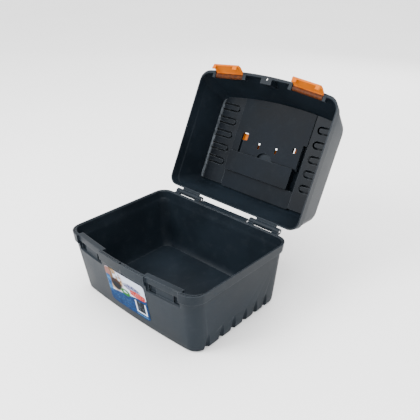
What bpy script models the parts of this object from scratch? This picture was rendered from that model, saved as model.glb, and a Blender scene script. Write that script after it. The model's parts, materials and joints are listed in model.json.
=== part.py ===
"""Plastic carpenter's toolbox with its lid open, built as separate pieces with real hinges.

Units are metres.  +X is the box's right, -Y its front, +Z up.  The origin is the centre of the
flat underside of the tub.  Everything on the lid is modelled with the lid shut and then turned
about the lid's hinge axis, so the file shows the box open on its stop.
"""
import math

import bmesh
import bpy
from mathutils import Matrix, Vector

# ---------------------------------------------------------------- driving dimensions
TUB_HEIGHT = 0.154            # floor to rim
LID_GAP = 0.0004              # air between the tub's rim and the shut lid
LID_BASE = TUB_HEIGHT + LID_GAP
OPEN_ANGLE = math.radians(116.0)

HINGE_Y = 0.1617              # hinge axis, just behind the rear rim
HINGE_Z = TUB_HEIGHT
KNUCKLE_RADIUS = 0.007
HINGE_PIN_RADIUS = 0.0025
KNUCKLE_X = (0.078, 0.092, 0.0925, 0.1475, 0.148, 0.162)   # tub, lid and tub knuckle ends

PIN_CLEARANCE = 0.0001        # radial play of every pin in its hole
TOUCH_GAP = 0.0003            # gap between pieces that rest on each other

LATCH_X = (0.0735, 0.1555)    # ends of the right latch
LATCH_YAW = math.radians(5.6)      # the latches follow the bow of the lid's lip
LATCH_AXIS_Y = -0.1495
LATCH_AXIS_Z = LID_BASE + 0.007
LATCH_PIN_RADIUS = 0.002
LATCH_REST_ANGLE = math.radians(27.0)
LATCH_TIP_Z = 0.1285
LATCH_PLATE_Y = (-0.1545, -0.1580)
LATCH_PIN_X = (0.0660, 0.1630)
LATCH_PIN_END_PLAY = 0.0005
HOOK_X = ((0.0790, 0.0910), (0.1430, 0.1530))      # each latch has two hooks
EAR_X = ((0.0630, 0.0715), (0.1575, 0.1650))       # lugs in the lid that carry a latch's pin
EAR_Y = (-0.1900, -0.1435)
EAR_H = (0.0015, 0.0125)
NOTCH_GAP = 0.0020            # room beside a latch in its notch in the lid
NOTCH_Y = -0.1420
NOTCH_H = 0.0180

BAY_X = (0.0705, 0.1585)      # latch bays in the tub's front
BAY_WALL_Y = -0.1480
BAY_INNER_Y = -0.1412
KEEPER_Y = -0.1538            # front of the band that the hooks catch under
BACKING_WALL = 0.0030         # wall left beside a bay
POCKET_X = ((0.0755, 0.0945), (0.1395, 0.1560))    # pockets for the hooks
POCKET_Y = (-0.1600, -0.1438)
POCKET_Z = (0.1180, 0.1365)

HANDLE_AXIS_Y = -0.0263
HANDLE_AXIS_H = 0.107         # height above the lid's rim
HANDLE_PIN_RADIUS = 0.0025
HANDLE_THICKNESS = 0.009
HANDLE_HALF_WIDTH = 0.091
HANDLE_PIN_X = (0.0770, 0.0955)

LOCK_HOLE_Y = -0.1605
LOCK_HOLE_RADIUS = 0.0033
LOCK_HALF_X = 0.0120          # recess in the lid above the padlock hole
LOCK_RECESS_Y = -0.1515
LOCK_RECESS_H = (0.0050, 0.0350)
LOCK_WALL = 0.0030

WELL_HALF_X = 0.093           # handle well in the lid's top
WELL_Y = (-0.0385, 0.0215)
WELL_FLOOR_H = 0.101
WELL_FLOOR_THICKNESS = 0.0028
WELL_WALL = 0.003

# Openings that show the handle from inside: x range, y range and corner radius.
WELL_WINDOW = ((0.0715, 0.0885), (-0.0315, -0.0110), 0.003)
WELL_SLIT = ((0.0160, 0.0360), (-0.0155, 0.0030), 0.003)
PANEL_WINDOW = {"left": ((0.0650, 0.0860), (-0.0320, -0.0125), 0.006),
                "right": ((0.0720, 0.0830), (-0.0280, -0.0150), 0.004)}
PANEL_SLIT = ((0.0235, 0.0295), (-0.0155, 0.0005), 0.002)
PANEL_GROOVE = ((0.0765, 0.0855), (-0.0150, 0.0250), 0.001)     # below the left window

LINER_H = 0.0940              # underside of the inner panels, above the lid's rim
LINER_THICKNESS = 0.002
CENTRE_DROP = 0.0025          # how far the centre panel stands below the racks
RACK_X = (0.1073, 0.1810)
RACK_Y = (-0.1250, 0.1150)
RACK_SLOTS = 5
RACK_PITCH = 0.0358
RACK_FIRST_Y = -0.0847
RACK_BEAD = (0.0070, 0.0030)  # width and height of the raised bead along a rack's outer edge

COVER_X = (-0.1050, 0.0915)   # the dished cover, whose right end leaves a channel
COVER_Y = (0.0212, 0.0730)
COVER_H = (0.0840, 0.0975)
COVER_WALL = 0.0020
CENTRE_HALF_X = 0.1068        # half width of the centre and rear panels
REAR_PANEL_Y = (0.0738, 0.1180)
PANEL_CUT_H = (0.080, 0.100)  # heights of the cutters for the thin panels

LABEL_HALF_X = 0.0630
LABEL_Z = (0.0260, 0.1230)
LABEL_CORNER = 0.0090
LABEL_THICKNESS = 0.0004

OUT_FRONT = -0.1900           # well in front of every wall
OVER_LID = 0.1300             # well above the lid's top
CORNER_STEPS = 6
FRONT_STEPS = 12

BLACK = (0.030, 0.036, 0.042, 1.0)
ORANGE = (0.85, 0.20, 0.03, 1.0)
STEEL = (0.55, 0.55, 0.56, 1.0)
LABEL = (0.05, 0.12, 0.45, 1.0)


# ---------------------------------------------------------------- scene helpers
def clear_scene():
    for old in list(bpy.data.objects):
        bpy.data.objects.remove(old, do_unlink=True)


def new_collection(name):
    collection = bpy.data.collections.new(name)
    bpy.context.scene.collection.children.link(collection)
    return collection


clear_scene()
PARTS = new_collection("carpenter_toolbox")
CUTTERS = new_collection("cutters")


def material(name, colour, roughness, metallic=0.0):
    mat = bpy.data.materials.new(name)
    mat.use_nodes = True
    shader = mat.node_tree.nodes["Principled BSDF"]
    shader.inputs["Base Color"].default_value = colour
    shader.inputs["Roughness"].default_value = roughness
    shader.inputs["Metallic"].default_value = metallic
    return mat


def mesh_object(name, bm, mat=None):
    """Turn a bmesh into an object: a part when it has a material, or else a hidden cutter."""
    bmesh.ops.recalc_face_normals(bm, faces=bm.faces)
    mesh = bpy.data.meshes.new(name)
    bm.to_mesh(mesh)
    bm.free()
    obj = bpy.data.objects.new(name, mesh)
    if mat is None:
        CUTTERS.objects.link(obj)
        obj.hide_render = True
        obj.display_type = "WIRE"
    else:
        PARTS.objects.link(obj)
        mesh.materials.append(mat)
    return obj


def combine(target, tool, operation):
    """Add a live Boolean; the tool is parented to its target so that both turn together."""
    tool.parent = target
    modifier = target.modifiers.new(tool.name, "BOOLEAN")
    modifier.operation = operation
    modifier.solver = "EXACT"
    modifier.object = tool


def cut(target, *tools):
    for tool in tools:
        combine(target, tool, "DIFFERENCE")


def join(target, *tools):
    for tool in tools:
        combine(target, tool, "UNION")


# ---------------------------------------------------------------- shape helpers
def box(name, x, y, z, mat=None):
    bm = bmesh.new()
    size = Vector((x[1] - x[0], y[1] - y[0], z[1] - z[0]))
    centre = Vector((x[1] + x[0], y[1] + y[0], z[1] + z[0])) / 2
    bmesh.ops.create_cube(bm, size=1.0, matrix=Matrix.Translation(centre) @ Matrix.Diagonal(size.to_4d()))
    return mesh_object(name, bm, mat)


def rod(name, x, y, z, radius, mat=None, segments=24):
    """A cylinder along X."""
    bm = bmesh.new()
    length = x[1] - x[0]
    place = Matrix.Translation(((x[0] + x[1]) / 2, y, z)) @ Matrix.Rotation(math.pi / 2, 4, "Y")
    bmesh.ops.create_cone(bm, cap_ends=True, segments=segments, radius1=radius, radius2=radius,
                          depth=length, matrix=place)
    return mesh_object(name, bm, mat)


def prism_bmesh(outline, along, start, end):
    """Extrude a closed 2D outline.  along names the axis; the outline gives the other two."""
    bm = bmesh.new()

    def place(a, b, t):
        if along == "X":
            return (t, a, b)
        if along == "Y":
            return (a, t, b)
        return (a, b, t)

    base = bm.faces.new([bm.verts.new(place(a, b, start)) for a, b in outline])
    extruded = bmesh.ops.extrude_face_region(bm, geom=[base])
    shift = Vector(place(0.0, 0.0, end)) - Vector(place(0.0, 0.0, start))
    moved = [item for item in extruded["geom"] if isinstance(item, bmesh.types.BMVert)]
    bmesh.ops.translate(bm, vec=shift, verts=moved)
    return bm


def prism(name, outline, along, start, end, mat=None):
    return mesh_object(name, prism_bmesh(outline, along, start, end), mat)


def arc(centre_a, centre_b, radius, start_deg, end_deg, steps):
    points = []
    for step in range(steps + 1):
        angle = math.radians(start_deg + (end_deg - start_deg) * step / steps)
        points.append((centre_a + radius * math.cos(angle), centre_b + radius * math.sin(angle)))
    return points


def rounded_rectangle(a, b, radius, steps=4):
    """Corner points of a rectangle a[0]..a[1] by b[0]..b[1] with round corners."""
    points = arc(a[1] - radius, b[0] + radius, radius, -90, 0, steps)
    points += arc(a[1] - radius, b[1] - radius, radius, 0, 90, steps)
    points += arc(a[0] + radius, b[1] - radius, radius, 90, 180, steps)
    points += arc(a[0] + radius, b[0] + radius, radius, 180, 270, steps)
    return points


def bowed_y(x, y, half_x, front, back, bow):
    """Bend a plan so that its front edge bows out in the middle; front is its foremost y."""
    return y + bow * (x / half_x) ** 2 * (back - y) / (back - front)


def plan(half_x, front, back, radius, bow):
    """The plan outline of the tub or the lid: a rounded rectangle with a bowed front."""
    span = half_x - radius
    points = [(-span + 2 * span * i / FRONT_STEPS, front) for i in range(FRONT_STEPS + 1)]
    points += arc(span, front + radius, radius, -90, 0, CORNER_STEPS)[1:]
    points += arc(span, back - radius, radius, 0, 90, CORNER_STEPS)
    points += arc(-span, back - radius, radius, 90, 180, CORNER_STEPS)
    points += arc(-span, front + radius, radius, 180, 270, CORNER_STEPS)[:-1]
    return [(x, bowed_y(x, y, half_x, front, back, bow)) for x, y in points]


def loft(name, sections, mat=None):
    """A closed solid through plan outlines; a section is (z, half_x, front, back, radius, bow)."""
    bm = bmesh.new()
    rings = []
    for z, *shape in sections:
        rings.append([bm.verts.new((x, y, z)) for x, y in plan(*shape)])
    count = len(rings[0])
    for low, high in zip(rings, rings[1:]):
        for i in range(count):
            j = (i + 1) % count
            bm.faces.new((low[i], low[j], high[j], high[i]))
    bm.faces.new(rings[0][::-1])
    bm.faces.new(rings[-1])
    return mesh_object(name, bm, mat)


def both_sides(make):
    """Call make(side, word) for the left and the right and return what it gives."""
    return [make(side, word) for side, word in ((-1, "left"), (1, "right"))]


def side_range(side, low, high):
    return (low, high) if side > 0 else (-high, -low)


# ---------------------------------------------------------------- materials
BODY_PLASTIC = material("body_plastic", BLACK, 0.45)
LINER_PLASTIC = material("liner_plastic", BLACK, 0.55)
ORANGE_PLASTIC = material("orange_plastic", ORANGE, 0.35)
PIN_STEEL = material("pin_steel", STEEL, 0.3, 1.0)
LABEL_FILM = material("label_film", LABEL, 0.3)

# ---------------------------------------------------------------- tub
# (z, half_x, front, back, corner radius, bow)
TUB_OUTER = (
    (0.000, 0.1812, -0.1345, 0.1310, 0.026, 0.0080),
    (0.003, 0.1838, -0.1370, 0.1332, 0.027, 0.0080),
    (0.008, 0.1850, -0.1385, 0.1342, 0.028, 0.0085),
    (0.020, 0.1860, -0.1405, 0.1352, 0.028, 0.0090),
    (0.131, 0.1940, -0.1600, 0.1430, 0.029, 0.0155),
    (0.133, 0.1978, -0.1637, 0.1463, 0.030, 0.0160),
    (TUB_HEIGHT, 0.2000, -0.1650, 0.1480, 0.030, 0.0160),
)
TUB_INNER = (
    (0.0050, 0.1720, -0.1260, 0.1235, 0.021, 0.0080),
    (0.0115, 0.1755, -0.1345, 0.1285, 0.023, 0.0085),
    (0.021, 0.1775, -0.1372, 0.1310, 0.025, 0.0090),
    (0.045, 0.1844, -0.1417, 0.1330, 0.025, 0.0105),
    (0.123, 0.1903, -0.1555, 0.1390, 0.026, 0.0155),
    (0.126, 0.1915, -0.1560, 0.1403, 0.027, 0.0160),
    (0.1315, 0.1920, -0.1561, 0.1407, 0.027, 0.0160),
    (0.135, 0.1937, -0.1562, 0.1421, 0.0263, 0.0160),
    (0.160, 0.1955, -0.1568, 0.1435, 0.027, 0.0160),
)
FLUTE_Y = (-0.1000, -0.0575, -0.0200, 0.0175, 0.0530, 0.0860)
FLUTE_RADIUS = 0.0075
FLUTE_LENGTH = 0.090
FLUTE_FOOT_X = 0.1832         # where a flute's axis meets the floor
FLUTE_TOP = (0.1942, 0.036)   # x and z of the point near which it leaves the wall
RIM_GROOVE = (0.0032, 0.0056) # the groove's edges, inward from the rim's outer edge
RIM_GROOVE_DEPTH = 0.0020


def yawed(obj, side):
    """Turn a piece of latch work, drawn square, to follow the bow of the front."""
    centre = Vector((side * sum(LATCH_X) / 2, LATCH_AXIS_Y, 0.0))
    turn = Matrix.Rotation(side * LATCH_YAW, 4, "Z")
    obj.data.transform(Matrix.Translation(centre) @ turn @ Matrix.Translation(-centre))
    return obj


def bay_cutter(side, word):
    """The recess that a shut latch lies in, with the keeper band left proud along its top."""
    profile = [(-0.200, 0.112), (-0.1560, 0.113), (BAY_WALL_Y, 0.1180), (BAY_WALL_Y, 0.1378),
               (KEEPER_Y + 0.0010, 0.1390), (KEEPER_Y, 0.1410), (KEEPER_Y, 0.170), (-0.200, 0.170)]
    x = side_range(side, *BAY_X)
    return yawed(prism("bay_" + word, profile, "X", *x), side)


def bay_backing(side, word):
    """What the tub's cavity leaves standing behind a bay."""
    profile = [(-0.200, 0.092), (-0.1560, 0.092), (BAY_INNER_Y, 0.108), (BAY_INNER_Y, 0.170),
               (-0.200, 0.170)]
    x = side_range(side, BAY_X[0] - BACKING_WALL, BAY_X[1] + BACKING_WALL)
    return yawed(prism("bay_backing_" + word, profile, "X", *x), side)


def hook_pockets(side, word):
    """Two blind pockets in a bay for the latch's hooks."""
    pockets = []
    for number, span in enumerate(POCKET_X):
        x = side_range(side, *span)
        pocket = box("pocket_%s_%d" % (word, number), x, POCKET_Y, POCKET_Z)
        pockets.append(yawed(pocket, side))
    return pockets


def flute(side, word, number, y):
    """A groove low on the side wall that runs out upward: a leaning cylinder."""
    foot = Vector((side * FLUTE_FOOT_X, y, 0.0))
    top = Vector((side * FLUTE_TOP[0], y, FLUTE_TOP[1]))
    lean = (top - foot).normalized()
    bm = bmesh.new()
    place = Matrix.Translation(foot) @ lean.to_track_quat("Z", "Y").to_matrix().to_4x4()
    bmesh.ops.create_cone(bm, cap_ends=True, segments=20, radius1=FLUTE_RADIUS, radius2=FLUTE_RADIUS,
                          depth=FLUTE_LENGTH, matrix=place)
    return mesh_object("flute_%s_%d" % (word, number), bm)


def rim_groove():
    """A ring-shaped cutter for the sealing groove along the rim's top."""
    half_x, front, back, radius, bow = TUB_OUTER[-1][1:]
    rings = []
    for inset in RIM_GROOVE:
        rings.append(plan(half_x - inset, front + inset, back - inset, radius - inset, bow))
    low = TUB_HEIGHT - RIM_GROOVE_DEPTH
    ring = prism("rim_groove", rings[0], "Z", low, TUB_HEIGHT + 0.004)
    cut(ring, prism("rim_groove_core", rings[1], "Z", low - 0.001, TUB_HEIGHT + 0.005))
    cut(ring, box("rim_groove_stop", (-0.008, 0.008), (-0.200, -0.100), (0.140, 0.170)))
    return ring


def knuckle(name, x, low_y, low_z, high_z):
    """A hinge barrel with the web that ties it to the wall in front of it."""
    barrel = rod(name, x, HINGE_Y, HINGE_Z, KNUCKLE_RADIUS)
    web = box(name + "_web", x, (low_y, HINGE_Y), (low_z, high_z))
    join(barrel, web)
    return barrel


def lock_hole(name, low, high):
    """The upright hole for a padlock in the middle of the front."""
    bm = bmesh.new()
    bmesh.ops.create_cone(bm, cap_ends=True, segments=20, radius1=LOCK_HOLE_RADIUS,
                          radius2=LOCK_HOLE_RADIUS, depth=high - low,
                          matrix=Matrix.Translation((0, LOCK_HOLE_Y, (low + high) / 2)))
    return mesh_object(name, bm)


def build_tub():
    tub = loft("tub", TUB_OUTER, BODY_PLASTIC)
    for side, word in ((-1, "left"), (1, "right")):
        for number, (low, high) in enumerate((KNUCKLE_X[0:2], KNUCKLE_X[4:6])):
            x = side_range(side, low, high)
            name = "tub_knuckle_%s_%d" % (word, number)
            barrel = knuckle(name, x, low_y=0.1405, low_z=0.1475, high_z=0.1535)
            join(tub, barrel)
    shelf = box("rear_shelf", (-0.0715, 0.0715), (0.1405, 0.1635), (0.1492, 0.1537))
    join(tub, shelf)
    cavity = loft("tub_cavity", TUB_INNER)
    cut(cavity, *both_sides(bay_backing))
    cut(tub, cavity, rim_groove())
    for side, word in ((-1, "left"), (1, "right")):
        cut(tub, bay_cutter(side, word), *hook_pockets(side, word))
        cut(tub, *[flute(side, word, number, y) for number, y in enumerate(FLUTE_Y)])
        x = side_range(side, KNUCKLE_X[0] - 0.001, KNUCKLE_X[5] + 0.001)
        cut(tub, rod("tub_pin_hole_" + word, x, HINGE_Y, HINGE_Z, HINGE_PIN_RADIUS + PIN_CLEARANCE))
    cut(tub, lock_hole("tub_lock_hole", 0.1245, 0.165))
    return tub


build_tub()

# ---------------------------------------------------------------- lid shell
LID_OUTER = (
    (0.0000, 0.2010, -0.1680, 0.1507, 0.024, 0.018),
    (0.0220, 0.1985, -0.1595, 0.1482, 0.024, 0.018),
    (0.0240, 0.1962, -0.1572, 0.1460, 0.023, 0.018),
    (0.0880, 0.1852, -0.1305, 0.1290, 0.023, 0.015),
    (0.0980, 0.1820, -0.1252, 0.1250, 0.024, 0.015),
    (0.1060, 0.1755, -0.1172, 0.1180, 0.025, 0.013),
    (0.1105, 0.1660, -0.1080, 0.1090, 0.026, 0.012),
    (0.1120, 0.1560, -0.0980, 0.0990, 0.026, 0.011),
)
LID_INNER = (
    (-0.0020, 0.1985, -0.1625, 0.1482, 0.022, 0.018),
    (0.0060, 0.1977, -0.1600, 0.1472, 0.022, 0.018),
    (0.0080, 0.1979, -0.1622, 0.1470, 0.021, 0.018),
    (0.0215, 0.1962, -0.1572, 0.1458, 0.021, 0.018),
    (0.0250, 0.1937, -0.1545, 0.1436, 0.020, 0.018),
    (0.0880, 0.1829, -0.1281, 0.1266, 0.020, 0.015),
    (0.0980, 0.1797, -0.1228, 0.1226, 0.021, 0.015),
    (0.1045, 0.1745, -0.1162, 0.1170, 0.022, 0.013),
    (0.1093, 0.1630, -0.1050, 0.1060, 0.023, 0.012),
)


def raised(sections):
    return [(LID_BASE + h, *shape) for h, *shape in sections]


def lid_z(low, high):
    return (LID_BASE + low, LID_BASE + high)


def latch_ears(side, word):
    """The two lugs in the lid's front wall that hold a latch's pin."""
    ears = []
    for number, span in enumerate(EAR_X):
        x = side_range(side, *span)
        ear = box("ear_%s_%d" % (word, number), x, EAR_Y, lid_z(*EAR_H))
        ears.append(yawed(ear, side))
    return ears


def plan_cutter(name, side, x, y, radius, low, high):
    """An upright cutter with a rounded outline, at heights low..high above the lid's rim."""
    return prism(name, rounded_rectangle(side_range(side, *x), y, radius), "Z", *lid_z(low, high))


def build_lid_shell():
    lid = loft("lid_shell", raised(LID_OUTER), BODY_PLASTIC)
    for side, word in ((-1, "left"), (1, "right")):
        x = side_range(side, *KNUCKLE_X[2:4])
        join(lid, knuckle("lid_knuckle_" + word, x, 0.1490, LID_BASE + 0.0002, LID_BASE + 0.0062))
    cavity = loft("lid_cavity", raised(LID_INNER))
    well_block = box("well_block", (-WELL_HALF_X - WELL_WALL, WELL_HALF_X + WELL_WALL),
                     (WELL_Y[0] - WELL_WALL, WELL_Y[1] + WELL_WALL),
                     lid_z(WELL_FLOOR_H - WELL_FLOOR_THICKNESS, OVER_LID))
    lock_box = box("lock_box", (-LOCK_HALF_X - LOCK_WALL, LOCK_HALF_X + LOCK_WALL),
                   (OUT_FRONT, LOCK_RECESS_Y + LOCK_WALL), lid_z(-0.010, LOCK_RECESS_H[1] + LOCK_WALL))
    cut(cavity, well_block, lock_box)
    for side, word in ((-1, "left"), (1, "right")):
        cut(cavity, *latch_ears(side, word))
    cut(lid, cavity)
    cut(lid, box("handle_well", (-WELL_HALF_X, WELL_HALF_X), WELL_Y, lid_z(WELL_FLOOR_H, OVER_LID)))
    lock_recess = box("lock_recess", (-LOCK_HALF_X, LOCK_HALF_X),
                      (OUT_FRONT, LOCK_RECESS_Y), lid_z(*LOCK_RECESS_H))
    cut(lid, lock_recess)
    cut(lid, lock_hole("lid_lock_hole", *lid_z(-0.005, 0.010)))
    for side, word in ((-1, "left"), (1, "right")):
        notch_x = side_range(side, LATCH_X[0] - NOTCH_GAP, LATCH_X[1] + NOTCH_GAP)
        notch = box("latch_notch_" + word, notch_x, (OUT_FRONT, NOTCH_Y), lid_z(-0.010, NOTCH_H))
        cut(lid, yawed(notch, side))
        pin_x = side_range(side, LATCH_PIN_X[0] - LATCH_PIN_END_PLAY, LATCH_PIN_X[1] + LATCH_PIN_END_PLAY)
        cut(lid, yawed(rod("latch_pin_hole_" + word, pin_x, LATCH_AXIS_Y, LATCH_AXIS_Z,
                           LATCH_PIN_RADIUS + PIN_CLEARANCE, segments=16), side))
        hinge_x = side_range(side, KNUCKLE_X[0], KNUCKLE_X[5])
        cut(lid, rod("lid_pin_hole_" + word, hinge_x, HINGE_Y, HINGE_Z, HINGE_PIN_RADIUS + PIN_CLEARANCE))
        handle_x = side_range(side, WELL_HALF_X - WELL_WALL, WELL_HALF_X + 0.005)
        cut(lid, rod("well_pin_hole_" + word, handle_x, HANDLE_AXIS_Y, LID_BASE + HANDLE_AXIS_H,
                     HANDLE_PIN_RADIUS + PIN_CLEARANCE, segments=20))
        cut(lid, plan_cutter("window_" + word, side, *WELL_WINDOW, 0.090, WELL_FLOOR_H + 0.0005))
        cut(lid, plan_cutter("slit_" + word, side, *WELL_SLIT, 0.090, WELL_FLOOR_H + 0.0005))
    return lid


# ---------------------------------------------------------------- inner panels of the lid
PANEL_PLAN = (0.1793, -0.1224, 0.1221, 0.0210, 0.0150)     # half_x, front, back, radius, bow


def trim_to_lid(panel):
    """Trim a panel to the inside of the lid's walls."""
    edge = prism(panel.name + "_edge", plan(*PANEL_PLAN), "Z", *lid_z(0.070, 0.105))
    combine(panel, edge, "INTERSECT")


def u_slot(side, y):
    """A U-shaped slot round a springy tongue; the tongue is tied in on the outer side."""
    middle, slot, inner, outer = 0.0102, 0.0052, 0.1180, 0.1745
    start = inner + middle
    outline = [(outer, y - middle)]
    outline += [(x, b) for x, b in arc(start, y, middle, 270, 90, 10)]
    outline += [(outer, y + middle), (outer, y + middle - slot)]
    outline += [(x, b) for x, b in arc(start, y, middle - slot, 90, 270, 10)]
    outline += [(outer, y - middle + slot)]
    return [(side * x, b) for x, b in outline]


def build_rack(side, word):
    """The strip of springy tongues along one side of the lid's inside, with a bead along its edge."""
    outline = rounded_rectangle(side_range(side, *RACK_X), RACK_Y, 0.003)
    rack = prism("bit_rack_" + word, outline, "Z", *lid_z(LINER_H, LINER_H + LINER_THICKNESS), LINER_PLASTIC)
    wall_x = PANEL_PLAN[0]
    bead_x = side_range(side, wall_x - RACK_BEAD[0], RACK_X[1])
    join(rack, box("bead_" + word, bead_x, RACK_Y, lid_z(LINER_H - RACK_BEAD[1], LINER_H + 0.001)))
    trim_to_lid(rack)
    for number in range(RACK_SLOTS):
        y = RACK_FIRST_Y + number * RACK_PITCH
        cut(rack, prism("u_slot_%s_%d" % (word, number), u_slot(side, y), "Z", *lid_z(0.089, 0.100)))
    return rack


def build_centre_panel():
    """The panel between the racks, with windows, slits and a finger notch in its rear edge."""
    rear, step, front, narrow = 0.0204, -0.0393, -0.1250, 0.0970
    notch_radius, notch_depth = 0.0220, 0.68
    outline = [(-CENTRE_HALF_X, front), (CENTRE_HALF_X, front)]
    outline += [(CENTRE_HALF_X, step), (narrow, step), (narrow, rear)]
    outline += [(x, rear - notch_depth * (y - rear)) for x, y in arc(0.0, rear, notch_radius, 0, 180, 12)]
    outline += [(-CENTRE_HALF_X, rear)]
    low, high = lid_z(LINER_H - CENTRE_DROP, LINER_H - CENTRE_DROP + LINER_THICKNESS)
    panel = prism("centre_panel", outline, "Z", low, high, LINER_PLASTIC)
    trim_to_lid(panel)
    for side, word in ((-1, "left"), (1, "right")):
        cut(panel, plan_cutter("panel_window_" + word, side, *PANEL_WINDOW[word], *PANEL_CUT_H))
        cut(panel, plan_cutter("panel_slit_" + word, side, *PANEL_SLIT, *PANEL_CUT_H))
    cut(panel, plan_cutter("panel_groove", -1, *PANEL_GROOVE, *PANEL_CUT_H))
    return panel


def build_lower_cover():
    """A shallow dished cover, open towards the lid's top, behind the finger notch."""
    outer = rounded_rectangle(COVER_X, COVER_Y, 0.003)
    inner_x = (COVER_X[0] + COVER_WALL, COVER_X[1] - COVER_WALL)
    inner_y = (COVER_Y[0] + COVER_WALL, COVER_Y[1] - COVER_WALL)
    cover = prism("lower_cover", outer, "Z", *lid_z(*COVER_H), LINER_PLASTIC)
    hollow_h = (COVER_H[0] + COVER_WALL, COVER_H[1] + 0.0025)
    cut(cover, prism("cover_hollow", rounded_rectangle(inner_x, inner_y, 0.0015), "Z", *lid_z(*hollow_h)))
    return cover


def build_rear_panel():
    outline = rounded_rectangle((-CENTRE_HALF_X, CENTRE_HALF_X), REAR_PANEL_Y, 0.004)
    return prism("rear_panel", outline, "Z", *lid_z(LINER_H, LINER_H + LINER_THICKNESS), LINER_PLASTIC)


# ---------------------------------------------------------------- carry handle
def build_handle():
    """A U-shaped bail that folds into the well; its arms pivot on two pins."""
    grip_rear, grip_front, arm_inner, arm_end = 0.0137, -0.0110, 0.0725, HANDLE_AXIS_Y - 0.0035
    outer = HANDLE_HALF_WIDTH
    outline = arc(outer - 0.012, grip_rear - 0.012, 0.012, 0, 90, 5)
    outline += arc(-outer + 0.012, grip_rear - 0.012, 0.012, 90, 180, 5)
    outline += [(-outer, arm_end), (-arm_inner, arm_end)]
    outline += arc(-arm_inner + 0.006, grip_front - 0.006, 0.006, 180, 90, 3)
    outline += arc(arm_inner - 0.006, grip_front - 0.006, 0.006, 90, 0, 3)
    outline += [(arm_inner, arm_end), (outer, arm_end)]
    half = HANDLE_THICKNESS / 2
    span = lid_z(HANDLE_AXIS_H - half, HANDLE_AXIS_H + half)
    handle = prism("carry_handle", outline, "Z", *span, ORANGE_PLASTIC)
    for side, word in ((-1, "left"), (1, "right")):
        x = side_range(side, HANDLE_PIN_X[0] - 0.0010, HANDLE_HALF_WIDTH + 0.004)
        cut(handle, rod("handle_hole_" + word, x, HANDLE_AXIS_Y, LID_BASE + HANDLE_AXIS_H,
                        HANDLE_PIN_RADIUS + PIN_CLEARANCE, segments=20))
    return handle


def build_handle_pin(side, word):
    x = side_range(side, *HANDLE_PIN_X)
    return rod("handle_pin_" + word, x, HANDLE_AXIS_Y, LID_BASE + HANDLE_AXIS_H, HANDLE_PIN_RADIUS,
               PIN_STEEL, segments=20)


# ---------------------------------------------------------------- latches
def build_latch(side, word):
    """A wide over-centre plate on a barrel, with two hooks near its tip, drawn shut."""
    inner_y, outer_y = LATCH_PLATE_Y
    radius = 0.0050
    profile = arc(LATCH_AXIS_Y, LATCH_AXIS_Z, radius, -80, 120, 8)
    profile += [(outer_y + 0.0015, LATCH_AXIS_Z + 0.0045), (outer_y, LATCH_AXIS_Z + 0.0010),
                (outer_y - 0.0004, 0.1450), (outer_y - 0.0018, LATCH_TIP_Z + 0.0018),
                (outer_y + 0.0002, LATCH_TIP_Z), (inner_y, LATCH_TIP_Z + 0.0015),
                (inner_y, LATCH_AXIS_Z - 0.0062), (LATCH_AXIS_Y - 0.0020, LATCH_AXIS_Z - 0.0055)]
    x = side_range(side, *LATCH_X)
    latch = prism("latch_" + word, profile, "X", *x, ORANGE_PLASTIC)
    for number, span in enumerate(HOOK_X):
        hook_x = side_range(side, *span)
        hook = [(inner_y - 0.0010, 0.1288), (-0.1462, 0.1305), (-0.1462, 0.1330), (inner_y - 0.0010, 0.1362)]
        join(latch, prism("hook_%s_%d" % (word, number), hook, "X", *hook_x))
    cut(latch, rod("latch_bore_" + word, side_range(side, *BAY_X), LATCH_AXIS_Y, LATCH_AXIS_Z,
                   LATCH_PIN_RADIUS + PIN_CLEARANCE, segments=16))
    for number, (edge, inward) in enumerate(((LATCH_X[0], 1), (LATCH_X[1], -1))):
        corner = [(edge - inward * 0.001, 0.120), (edge + inward * 0.005, 0.120),
                  (edge + inward * 0.004, 0.1280), (edge - inward * 0.001, 0.1400)]
        shape = [(side * a, b) for a, b in corner]
        cut(latch, prism("latch_corner_%s_%d" % (word, number), shape, "Y", -0.170, -0.1490))
    for tool in [latch] + list(latch.children):
        yawed(tool, side)
    return latch


def build_latch_pin(side, word):
    x = side_range(side, *LATCH_PIN_X)
    pin = rod("latch_pin_" + word, x, LATCH_AXIS_Y, LATCH_AXIS_Z, LATCH_PIN_RADIUS, PIN_STEEL, segments=16)
    return yawed(pin, side)


def build_hinge_pin(side, word):
    x = side_range(side, KNUCKLE_X[0] + 0.0002, KNUCKLE_X[5] - 0.0002)
    return rod("hinge_pin_" + word, x, HINGE_Y, HINGE_Z, HINGE_PIN_RADIUS, PIN_STEEL)


# ---------------------------------------------------------------- front label
def build_label():
    """A film on the front wall, which follows the wall's slope and bow."""
    low, high = TUB_OUTER[3], TUB_OUTER[4]
    steps, reach = 10, LABEL_HALF_X + 0.007

    def wall(x, z):
        t = (z - low[0]) / (high[0] - low[0])
        half_x, front, back, _radius, bow = (a + (b - a) * t for a, b in zip(low[1:], high[1:]))
        return bowed_y(x, front, half_x, front, back, bow)

    bm = bmesh.new()
    rings = []
    for z in (LABEL_Z[0] - 0.004, LABEL_Z[1] + 0.005):
        ring = []
        for offset, order in ((TOUCH_GAP + LABEL_THICKNESS, 1), (TOUCH_GAP, -1)):
            for i in range(steps + 1)[::order]:
                x = -reach + 2 * reach * i / steps
                ring.append(bm.verts.new((x, wall(x, z) - offset, z)))
        rings.append(ring)
    count = len(rings[0])
    for i in range(count):
        j = (i + 1) % count
        bm.faces.new((rings[0][i], rings[0][j], rings[1][j], rings[1][i]))
    for ring in rings:
        for i in range(steps):
            bm.faces.new((ring[i], ring[i + 1], ring[-2 - i], ring[-1 - i]))
    label = mesh_object("front_label", bm, LABEL_FILM)
    shape = rounded_rectangle((-LABEL_HALF_X, LABEL_HALF_X), LABEL_Z, LABEL_CORNER, steps=5)
    combine(label, prism("label_outline", shape, "Y", -0.180, -0.140), "INTERSECT")
    return label


build_label()

both_sides(build_hinge_pin)

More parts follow.
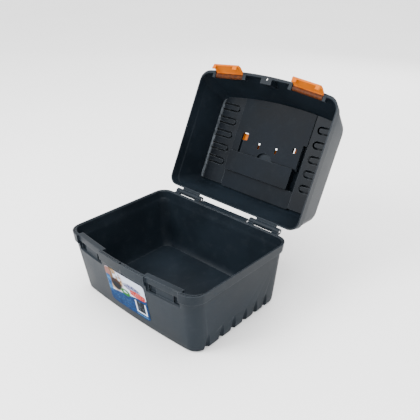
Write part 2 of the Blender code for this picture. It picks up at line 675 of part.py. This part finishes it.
# ---------------------------------------------------------------- the open pose
def pivot(name, location, parent=None):
    """An empty on a joint's axis, placed in the shut box."""
    empty = bpy.data.objects.new(name, None)
    PARTS.objects.link(empty)
    empty.matrix_world = Matrix.Translation(location)
    if parent is not None:
        hang(empty, parent)
    return empty


def hang(obj, parent):
    """Parent an object that is already in its place in the shut box."""
    bpy.context.view_layer.update()
    obj.parent = parent
    obj.matrix_parent_inverse = parent.matrix_world.inverted()


LID_PIVOT = pivot("lid_pivot", (0.0, HINGE_Y, HINGE_Z))
lid_pieces = [build_lid_shell(), build_centre_panel(), build_lower_cover(), build_rear_panel()]
lid_pieces += both_sides(build_rack) + both_sides(build_handle_pin) + both_sides(build_latch_pin)
for piece in lid_pieces:
    hang(piece, LID_PIVOT)
HANDLE_PIVOT = pivot("handle_pivot", (0.0, HANDLE_AXIS_Y, LID_BASE + HANDLE_AXIS_H), LID_PIVOT)
hang(build_handle(), HANDLE_PIVOT)
for sign, label_word in ((-1, "left"), (1, "right")):
    place = (sign * sum(LATCH_X) / 2, LATCH_AXIS_Y, LATCH_AXIS_Z)
    latch_pivot = pivot("latch_pivot_" + label_word, place, LID_PIVOT)
    hang(build_latch(sign, label_word), latch_pivot)
    axis = (math.cos(LATCH_YAW), sign * math.sin(LATCH_YAW), 0.0)
    latch_pivot.rotation_mode = "AXIS_ANGLE"
    latch_pivot.rotation_axis_angle = (-LATCH_REST_ANGLE, *axis)
LID_PIVOT.rotation_euler.x = -OPEN_ANGLE
bpy.context.view_layer.update()
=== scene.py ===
"""Looks for the open carpenter's toolbox: materials, softened edges, light, floor and camera."""
import json
import math

import bpy
from mathutils import Matrix, Vector


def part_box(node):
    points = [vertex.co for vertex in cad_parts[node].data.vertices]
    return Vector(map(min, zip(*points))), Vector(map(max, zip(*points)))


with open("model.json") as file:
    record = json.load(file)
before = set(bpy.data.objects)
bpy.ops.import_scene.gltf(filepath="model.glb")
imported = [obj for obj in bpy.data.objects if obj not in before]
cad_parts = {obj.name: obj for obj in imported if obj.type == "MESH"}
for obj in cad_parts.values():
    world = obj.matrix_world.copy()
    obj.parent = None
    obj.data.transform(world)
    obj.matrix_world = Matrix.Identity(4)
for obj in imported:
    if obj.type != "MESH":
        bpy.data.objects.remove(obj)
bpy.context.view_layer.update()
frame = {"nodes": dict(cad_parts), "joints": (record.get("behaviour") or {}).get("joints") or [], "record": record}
NODES = frame["nodes"]

# ---------------------------------------------------------------- settings
CAMERA_AT = (0.7606, -0.7163, 0.7541)
CAMERA_LOOKS_AT = (0.0223, 0.0838, 0.1901)
CAMERA_LENS = 46.39
CAMERA_SENSOR = 36.0

CHARCOAL = (0.0068, 0.0108, 0.0155)
CHARCOAL_DARK = (0.0045, 0.0070, 0.0100)
# painted shade: the liner's plastic is set darker than the body's, for the lid's inside
LINER_SHADED = (0.0044, 0.0068, 0.0102)
LINER_SHADED_DARK = (0.0030, 0.0042, 0.0060)
# the pale grey of the painted highlights on edges and on the racks' bead
EDGE_PAINTED_HIGHLIGHT = (0.100, 0.112, 0.126)
ORANGE = (0.470, 0.112, 0.0010)
ORANGE_DARK = (0.405, 0.086, 0.0008)
# painted shade: a dark brown laid on the latches' barrels near their pins
PIVOT_PAINTED_SHADE = (0.030, 0.009, 0.0035)

LABEL_WHITE = (0.42, 0.46, 0.55)
LABEL_CREAM = (0.30, 0.19, 0.09)
LABEL_TAN = (0.105, 0.060, 0.028)
LABEL_PINK = (0.160, 0.072, 0.062)
LABEL_BLUE = (0.0, 0.0125, 0.0520)
LABEL_MID_BLUE = (0.0, 0.0290, 0.1080)
LABEL_PALE_BLUE = (0.030, 0.110, 0.230)
LABEL_RED = (0.300, 0.005, 0.005)
LABEL_GREEN = (0.006, 0.090, 0.006)
LABEL_BROWN = (0.020, 0.008, 0.005)
LABEL_VIOLET = (0.010, 0.007, 0.070)
LABEL_DARK = (0.003, 0.004, 0.007)
LABEL_SLATE = (0.026, 0.036, 0.048)
LABEL_FLECKED_RED = (0.34, 0.16, 0.15)
LABEL_WORN = (0.45, 0.46, 0.47)

DUST = (0.070, 0.074, 0.078)
ORANGE_PAINTED_HIGHLIGHT = (0.60, 0.175, 0.006)
ORANGE_SCRATCH = (0.56, 0.17, 0.010)
STEEL_DARK = (0.42, 0.42, 0.43)
STEEL_LIGHT = (0.62, 0.62, 0.63)
FLOOR_DARK = (0.93, 0.93, 0.93)
FLOOR_LIGHT = (0.95, 0.95, 0.95)
WORLD_STRENGTH = 2.3

PLASTIC_GRAIN = 1500.0      # pebbles a metre in the moulded surface
BEAD_WIDTH = 0.0070
BEAD_INNER_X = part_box("bit_rack_right")[1][0] - BEAD_WIDTH     # the bead is on a rack's outer edge
BEAD_BLEND = 0.001

# The latch's barrel, from its pin: how far towards the latch's inner face, and up along its plate. These bound the
# painted shade on the barrel.
BARREL_INWARD = (-0.0046, -0.0030)
BARREL_TOP = (0.0005, 0.0035)
BARREL_FOOT = (-0.0110, -0.0085)

# The label's print, in X and Z on the front wall. An ellipse is (x, z, half width, half height).
FIELD_TOP = 0.071           # height of the blue field's upper edge at the middle
FIELD_SLOPE = 0.20
FIELD_BLEND = 0.0012
FIELD_ROWS = (-0.018, 0.050, 0.038, 0.016)
PICTURE = (-0.040, 0.098, 0.034, 0.034)
TAN_PATCH = (-0.045, 0.108, 0.008, 0.018)
PINK_PATCH = (-0.055, 0.110, 0.010, 0.013)
BROWN_ROUND = (-0.030, 0.085, 0.020, 0.015)
DARK_ROUND = (-0.031, 0.080, 0.014, 0.010)
GREEN_RING = (-0.003, 0.075, 0.015, 0.009)
GREEN_RING_INSIDE = (-0.003, 0.076, 0.008, 0.004)
VIOLET_CLOUD = (0.021, 0.0975, 0.027, 0.0085)
RED_BAR_ROUND = (0.038, 0.086, 0.030, 0.0085)
# A rectangle is (lowest x, highest x, lowest z, highest z).
RED_BAR = (0.014, 0.0605, 0.078, 0.094)
SIDE_BAND = (-0.063, -0.049, 0.050, 0.100)
SIDE_STRIPES = (-0.063, -0.050, 0.056, 0.098)
FRAME_WHITE = (0.024, 0.057, 0.0370, 0.0700)
FRAME_INSIDE = (0.0280, 0.0530, 0.0410, 0.0715)
FOOT_LINE = (0.022, 0.058, 0.0300, 0.0325)


def latch_frame():
    """The right latch's pin centre, and the ways its inner face and its root point at rest."""
    joints = {joint["name"]: joint for joint in frame["joints"]}
    pivot = joints["latch_right_pivot"]
    lid_turn = Matrix.Rotation(-math.radians(joints["lid_hinge"]["range_deg"][1]), 3, "X")
    shut_axis = lid_turn.inverted() @ Vector(pivot["axis"])
    latch_turn = Matrix.Rotation(-math.radians(pivot["range_deg"][1]), 3, shut_axis)
    up = Vector((0.0, 0.0, 1.0))
    turn = lid_turn @ latch_turn
    return Vector(pivot["pos_m"]), turn @ up.cross(shut_axis), turn @ up


# ---------------------------------------------------------------- node helpers
class Shader:
    """A small writer for node materials."""

    def __init__(self, name):
        self.material = bpy.data.materials.new(name)
        self.material.use_nodes = True
        self.tree = self.material.node_tree
        self.bsdf = self.tree.nodes["Principled BSDF"]
        self.coords = self.tree.nodes.new("ShaderNodeTexCoord")

    @classmethod
    def over(cls, material):
        """A writer that adds nodes to a material made before."""
        made = cls.__new__(cls)
        made.material = material
        made.tree = material.node_tree
        made.bsdf = made.tree.nodes["Principled BSDF"]
        made.coords = made.tree.nodes.new("ShaderNodeTexCoord")
        return made

    def node(self, kind, **values):
        made = self.tree.nodes.new(kind)
        for key, value in values.items():
            setattr(made, key, value)
        return made

    def link(self, output, socket):
        self.tree.links.new(output, socket)

    def put(self, socket, value):
        """Link a socket's value if it is an output, or else set it."""
        if isinstance(value, bpy.types.NodeSocket):
            self.link(value, socket)
        else:
            socket.default_value = value

    def stretched(self, scale):
        """Object coordinates, scaled along each axis."""
        mapping = self.node("ShaderNodeMapping")
        mapping.inputs["Scale"].default_value = scale
        self.link(self.coords.outputs["Object"], mapping.inputs["Vector"])
        return mapping.outputs["Vector"]

    def noise(self, scale, detail=2.0, roughness=0.5, vector=None, distortion=0.0):
        made = self.node("ShaderNodeTexNoise")
        self.link(vector or self.coords.outputs["Object"], made.inputs["Vector"])
        made.inputs["Scale"].default_value = scale
        made.inputs["Detail"].default_value = detail
        made.inputs["Roughness"].default_value = roughness
        made.inputs["Distortion"].default_value = distortion
        return made.outputs["Fac"]

    def math(self, operation, a, b=0.0):
        made = self.node("ShaderNodeMath", operation=operation)
        for socket, value in zip(made.inputs, (a, b)):
            self.put(socket, value)
        return made.outputs["Value"]

    def times(self, a, b):
        return self.math("MULTIPLY", a, b)

    def ramp(self, value, low, high, out_low=0.0, out_high=1.0):
        made = self.node("ShaderNodeMapRange", interpolation_type="SMOOTHSTEP")
        self.put(made.inputs["Value"], value)
        made.inputs["From Min"].default_value = low
        made.inputs["From Max"].default_value = high
        made.inputs["To Min"].default_value = out_low
        made.inputs["To Max"].default_value = out_high
        return made.outputs["Result"]

    def mix(self, factor, a, b):
        made = self.node("ShaderNodeMix", data_type="RGBA", clamp_factor=True)
        self.put(made.inputs["Factor"], factor)
        for socket, value in ((made.inputs["A"], a), (made.inputs["B"], b)):
            if isinstance(value, tuple):
                value = (*value, 1.0)
            self.put(socket, value)
        return made.outputs["Result"]

    def axes(self):
        made = self.node("ShaderNodeSeparateXYZ")
        self.link(self.coords.outputs["Object"], made.inputs["Vector"])
        return made.outputs["X"], made.outputs["Y"], made.outputs["Z"]

    def specular(self, level):
        self.bsdf.inputs["Specular IOR Level"].default_value = level

    def edge(self, radius):
        """(a rounded normal, a mask that is 1 on sharp edges)."""
        bevel = self.node("ShaderNodeBevel", samples=6)
        bevel.inputs["Radius"].default_value = radius
        geometry = self.node("ShaderNodeNewGeometry")
        dot = self.node("ShaderNodeVectorMath", operation="DOT_PRODUCT")
        self.link(bevel.outputs["Normal"], dot.inputs[0])
        self.link(geometry.outputs["Normal"], dot.inputs[1])
        return bevel.outputs["Normal"], self.ramp(dot.outputs["Value"], 0.995, 0.80)

    def bump(self, height, strength, distance, normal=None):
        made = self.node("ShaderNodeBump")
        self.put(made.inputs["Height"], height)
        made.inputs["Strength"].default_value = strength
        made.inputs["Distance"].default_value = distance
        if normal is not None:
            self.link(normal, made.inputs["Normal"])
        return made.outputs["Normal"]

    def finish(self, colour, roughness, normal):
        self.put(self.bsdf.inputs["Base Color"], colour)
        self.put(self.bsdf.inputs["Roughness"], roughness)
        self.put(self.bsdf.inputs["Normal"], normal)
        return self.material


def scratches(shader, scale, vector_scale, low, high):
    """Thin, broken lines."""
    lines = shader.noise(scale, 3.0, 0.6, shader.stretched(vector_scale), 0.4)
    patches = shader.noise(9.0, 2.0)
    return shader.times(shader.ramp(lines, low, high), shader.ramp(patches, 0.48, 0.62))


# ---------------------------------------------------------------- materials
def tinted(colour, factor):
    return tuple(channel * factor for channel in colour)


def moulded_plastic(name, base, dark, rough, dust, gloss, edge_width, edge_highlight_mix):
    """Fine-grained polypropylene: mottled, with a painted highlight on its edges, scuffs and a little dust."""
    shader = Shader(name)
    shader.specular(gloss)
    large = shader.noise(7.0, 3.0)
    fine = shader.noise(420.0, 2.0)
    colour = shader.mix(shader.ramp(large, 0.35, 0.68), dark, base)
    colour = shader.mix(shader.times(shader.ramp(fine, 0.45, 0.70), 0.16), colour, tinted(base, 1.7))
    soft_normal, edge = shader.edge(edge_width)
    # painted highlight: sharp edges are lightened towards a pale grey
    colour = shader.mix(shader.times(edge, edge_highlight_mix), colour, EDGE_PAINTED_HIGHLIGHT)
    marks = scratches(shader, 26.0, (1.0, 22.0, 5.0), 0.62, 0.70)
    other = scratches(shader, 22.0, (16.0, 1.2, 9.0), 0.63, 0.70)
    scuffs = shader.math("MAXIMUM", marks, other)
    colour = shader.mix(shader.times(scuffs, 0.16), colour, tinted(base, 3.2))
    powder = shader.times(shader.ramp(shader.noise(55.0, 4.0, 0.65), 0.50, 0.75), dust)
    colour = shader.mix(powder, colour, DUST)
    plain_rough = shader.ramp(large, 0.3, 0.7, rough - 0.05, rough + 0.05)
    roughness = shader.math("ADD", plain_rough, shader.times(scuffs, 0.10))
    pebbles = shader.node("ShaderNodeTexVoronoi", feature="SMOOTH_F1")
    shader.link(shader.coords.outputs["Object"], pebbles.inputs["Vector"])
    pebbles.inputs["Scale"].default_value = PLASTIC_GRAIN
    normal = shader.bump(pebbles.outputs["Distance"], 0.20, 0.00012, soft_normal)
    normal = shader.bump(large, 0.10, 0.0010, normal)
    return shader.finish(colour, roughness, normal)


def rack_plastic(name):
    """The liner's plastic, with a painted highlight along the bead on the rack's outer edge."""
    material = moulded_plastic(name, LINER_SHADED, LINER_SHADED_DARK, rough=0.42, dust=0.03, gloss=0.08,
                               edge_width=0.0013, edge_highlight_mix=0.8)
    shader = Shader.over(material)
    x, _y, _z = shader.axes()
    across = shader.math("ABSOLUTE", x)
    # painted highlight: the bead on the rack's outer edge is lightened in patches
    bead_painted_highlight = shader.ramp(across, BEAD_INNER_X - BEAD_BLEND, BEAD_INNER_X + BEAD_BLEND)
    patches = shader.ramp(shader.noise(95.0, 3.0, 0.6), 0.30, 0.62, 0.25, 0.75)
    base_colour = shader.bsdf.inputs["Base Color"]
    plain = base_colour.links[0].from_socket
    shader.put(base_colour, shader.mix(shader.times(bead_painted_highlight, patches), plain, EDGE_PAINTED_HIGHLIGHT))
    return material


def along(shader, origin, direction):
    """How far a point, mirrored to the right half, lies from an origin along a direction."""
    x, y, z = shader.axes()
    total = 0.0
    for value, start, step in zip((shader.math("ABSOLUTE", x), y, z), origin, direction):
        part = shader.times(shader.math("SUBTRACT", value, start), step)
        total = shader.math("ADD", total, part)
    return total


def orange_plastic(name):
    """Smoother moulded plastic with a slight mottle, a painted highlight on its edges, and painted shade on the
    latches' barrels.
    """
    shader = Shader(name)
    shader.specular(0.08)
    tone = shader.noise(30.0, 2.0)
    colour = shader.mix(shader.ramp(tone, 0.35, 0.70), ORANGE_DARK, ORANGE)
    soft_normal, edge = shader.edge(0.0008)
    # painted highlight: sharp edges are lightened towards a paler orange
    colour = shader.mix(shader.times(edge, 0.30), colour, ORANGE_PAINTED_HIGHLIGHT)
    fine = scratches(shader, 60.0, (1.0, 26.0, 26.0), 0.60, 0.68)
    colour = shader.mix(shader.times(fine, 0.25), colour, ORANGE_SCRATCH)
    origin, inward, upward = latch_frame()
    inside = along(shader, origin, inward)
    up = along(shader, origin, upward)
    # painted shade: the barrel next to the pin is darkened, broken up a little by noise
    pin_painted_shade = shader.times(shader.ramp(inside, *BARREL_INWARD), shader.ramp(up, *BARREL_TOP[::-1]))
    pin_painted_shade = shader.times(pin_painted_shade, shader.ramp(up, *BARREL_FOOT))
    shade_breakup = shader.ramp(shader.noise(160.0, 3.0, 0.6), 0.30, 0.70, 1.0, 0.86)
    colour = shader.mix(shader.times(pin_painted_shade, shade_breakup), colour, PIVOT_PAINTED_SHADE)
    roughness = shader.math("ADD", shader.ramp(tone, 0.3, 0.7, 0.34, 0.44), shader.times(fine, 0.2))
    normal = shader.bump(shader.noise(900.0, 1.0), 0.10, 0.0001, soft_normal)
    return shader.finish(colour, roughness, normal)


def pin_steel(name):
    """Drawn wire with fine rings."""
    shader = Shader(name)
    rings = shader.noise(700.0, 2.0, 0.5, shader.stretched((3.0, 0.5, 0.5)))
    colour = shader.mix(shader.ramp(rings, 0.4, 0.7), STEEL_DARK, STEEL_LIGHT)
    shader.bsdf.inputs["Metallic"].default_value = 1.0
    normal = shader.bump(rings, 0.12, 0.0001)
    return shader.finish(colour, shader.ramp(rings, 0.3, 0.7, 0.24, 0.38), normal)


def label_film(name):
    """A printed film: a pale scene of soft shapes over a blue field, without any lettering."""
    shader = Shader(name)
    shader.specular(0.03)
    x, _y, z = shader.axes()
    waver = shader.times(shader.math("SUBTRACT", shader.noise(26.0, 2.0), 0.5), 0.28)

    def blob(centre_x, centre_z, radius_x, radius_z, soft):
        """A soft ellipse with a slightly wavering edge."""
        across = shader.math("DIVIDE", shader.math("SUBTRACT", x, centre_x), radius_x)
        up = shader.math("DIVIDE", shader.math("SUBTRACT", z, centre_z), radius_z)
        far = shader.math("ADD", shader.times(across, across), shader.times(up, up))
        far = shader.math("ADD", far, waver)
        return shader.ramp(far, 1.0 + soft, 1.0 - soft)

    def panel(x_low, x_high, z_low, z_high, soft=0.0006):
        """A rectangle."""
        product = 1.0
        for value, low, high in ((x, x_low, x_high), (z, z_low, z_high)):
            product = shader.times(product, shader.ramp(value, low - soft, low + soft))
            product = shader.times(product, shader.ramp(value, high + soft, high - soft))
        return product

    waves = shader.noise(60.0, 3.0, 0.6, shader.stretched((1.0, 1.0, 4.0)))
    blue = shader.mix(shader.ramp(waves, 0.42, 0.66), LABEL_BLUE, LABEL_MID_BLUE)
    rows = shader.noise(150.0, 3.0, 0.6, shader.stretched((1.0, 1.0, 3.0)))
    rows = shader.times(shader.ramp(rows, 0.52, 0.64, 0.0, 0.38), blob(*FIELD_ROWS, 0.5))
    blue = shader.mix(rows, blue, LABEL_PALE_BLUE)

    fleck = shader.ramp(shader.noise(150.0, 4.0, 0.7), 0.48, 0.58)
    picture = shader.ramp(shader.noise(70.0, 3.0, 0.6), 0.46, 0.60)
    picture = shader.mix(picture, LABEL_CREAM, LABEL_WHITE)
    picture = shader.mix(shader.times(fleck, 0.65), picture, LABEL_BROWN)
    picture = shader.mix(blob(*TAN_PATCH, 0.6), picture, LABEL_TAN)
    picture = shader.mix(blob(*PINK_PATCH, 0.5), picture, LABEL_PINK)
    picture = shader.mix(blob(*BROWN_ROUND, 0.4), picture, LABEL_BROWN)
    picture = shader.mix(blob(*DARK_ROUND, 0.4), picture, LABEL_DARK)
    colour = shader.mix(blob(*PICTURE, 0.3), LABEL_WHITE, picture)

    field_edge = shader.math("ADD", FIELD_TOP, shader.times(x, FIELD_SLOPE))
    above_field = shader.ramp(shader.math("SUBTRACT", z, field_edge), -FIELD_BLEND, FIELD_BLEND)
    colour = shader.mix(above_field, blue, colour)

    bands = shader.noise(40.0, 2.0, 0.5, shader.stretched((1.0, 1.0, 5.0)))
    stripes = shader.times(panel(*SIDE_STRIPES, 0.0020), shader.ramp(bands, 0.40, 0.60))
    colour = shader.mix(panel(*SIDE_BAND, 0.0020), colour, LABEL_MID_BLUE)
    colour = shader.mix(stripes, colour, LABEL_PALE_BLUE)

    colour = shader.mix(blob(*GREEN_RING, 0.4), colour, LABEL_GREEN)
    sparks = shader.times(blob(*GREEN_RING_INSIDE, 0.5), shader.ramp(waves, 0.40, 0.60))
    colour = shader.mix(sparks, colour, LABEL_WHITE)

    fine = shader.noise(330.0, 3.0, 0.7)
    cloud = shader.times(blob(*VIOLET_CLOUD, 0.3), shader.ramp(fine, 0.40, 0.52, 0.34, 0.94))
    colour = shader.mix(cloud, colour, LABEL_VIOLET)
    bar = shader.times(blob(*RED_BAR_ROUND, 0.1), panel(*RED_BAR))
    bar_colour = shader.mix(shader.ramp(fine, 0.50, 0.62), LABEL_RED, LABEL_FLECKED_RED)
    colour = shader.mix(bar, colour, bar_colour)

    colour = shader.mix(panel(*FRAME_WHITE), colour, LABEL_WHITE)
    inside = shader.ramp(shader.noise(130.0, 2.0), 0.45, 0.60)
    inside_colour = shader.mix(inside, LABEL_DARK, LABEL_SLATE)
    colour = shader.mix(panel(*FRAME_INSIDE), colour, inside_colour)
    colour = shader.mix(panel(*FOOT_LINE), colour, LABEL_PALE_BLUE)

    wear = shader.times(shader.ramp(shader.noise(90.0, 4.0, 0.7), 0.60, 0.72), 0.10)
    colour = shader.mix(wear, colour, LABEL_WORN)
    normal = shader.bump(shader.noise(120.0, 2.0), 0.10, 0.0004)
    return shader.finish(colour, shader.ramp(waves, 0.3, 0.7, 0.42, 0.52), normal)


BY_SLOT = {
    "body_plastic": moulded_plastic("body_grained", CHARCOAL, CHARCOAL_DARK, rough=0.45, dust=0.05,
                                    gloss=0.10, edge_width=0.0013, edge_highlight_mix=0.50),
    "liner_plastic": moulded_plastic("liner_grained", LINER_SHADED, LINER_SHADED_DARK, rough=0.48, dust=0.03,
                                     gloss=0.06, edge_width=0.0012, edge_highlight_mix=0.45),
    "orange_plastic": orange_plastic("orange_gloss"),
    "pin_steel": pin_steel("pin_wire"),
    "label_film": label_film("label_print"),
}
RACKS = rack_plastic("rack_grained")

for part in frame["record"]["subparts"]:
    node = NODES[part["node"]]
    for slot in node.material_slots:
        slot.material = BY_SLOT[part["material_slot"]]
for name in ("bit_rack_left", "bit_rack_right"):
    NODES[name].material_slots[0].material = RACKS


# ---------------------------------------------------------------- shading of the CAD nodes
SMOOTH_BELOW = math.radians(28.0)
WELD_DISTANCE = 0.000002


def smooth_curves(node):
    """Shade curved walls smoothly and keep true corners, without touching the mesh's points."""
    mesh = node.data
    if mesh.has_custom_normals:
        with bpy.context.temp_override(object=node, active_object=node, selected_objects=[node]):
            bpy.ops.mesh.customdata_custom_splitnormals_clear()
    weld = node.modifiers.new("weld", "WELD")
    weld.merge_threshold = WELD_DISTANCE
    mesh.shade_smooth()
    split = node.modifiers.new("split", "EDGE_SPLIT")
    split.split_angle = SMOOTH_BELOW
    weighted = node.modifiers.new("weighted", "WEIGHTED_NORMAL")
    weighted.weight = 90
    weighted.keep_sharp = True


for node in NODES.values():
    smooth_curves(node)


# ---------------------------------------------------------------- floor, light and camera
def floor():
    """A large, flat, pale floor just under the box."""
    bpy.ops.mesh.primitive_plane_add(size=14.0, location=(0.0, 3.0, -0.0003))
    plane = bpy.context.object
    plane.name = "floor"
    shader = Shader("floor_pale")
    tone = shader.noise(1.2, 2.0)
    colour = shader.mix(shader.ramp(tone, 0.3, 0.7), FLOOR_DARK, FLOOR_LIGHT)
    plane.data.materials.append(shader.finish(colour, 0.75, shader.bump(tone, 0.02, 0.001)))


def aimed(name, data, place, target):
    """A new object at a place, with its -Z axis turned to a target."""
    made = bpy.data.objects.new(name, data)
    bpy.context.scene.collection.objects.link(made)
    made.location = place
    made.rotation_euler = (Vector(target) - Vector(place)).to_track_quat("-Z", "Y").to_euler()
    return made


def area_light(name, place, target, size, power):
    data = bpy.data.lights.new(name, "AREA")
    data.size = size
    data.energy = power
    aimed(name, data, place, target)


floor()
area_light("key", (-0.9, -1.7, 1.9), (0.0, 0.05, 0.15), 1.2, 95.0)
area_light("fill", (2.1, -0.5, 1.3), (0.0, 0.05, 0.15), 1.6, 10.0)
area_light("top", (0.1, 0.3, 2.4), (0.0, 0.1, 0.1), 1.8, 32.0)
area_light("back", (-0.6, 2.3, 1.2), (0.0, 0.2, 0.2), 1.4, 22.0)

world = bpy.data.worlds.new("studio")
bpy.context.scene.world = world
world.use_nodes = True
background = world.node_tree.nodes["Background"]
background.inputs["Color"].default_value = (1.0, 1.0, 1.0, 1.0)
background.inputs["Strength"].default_value = WORLD_STRENGTH

camera_data = bpy.data.cameras.new("camera")
camera_data.lens = CAMERA_LENS
camera_data.sensor_width = CAMERA_SENSOR
bpy.context.scene.camera = aimed("camera", camera_data, CAMERA_AT, CAMERA_LOOKS_AT)
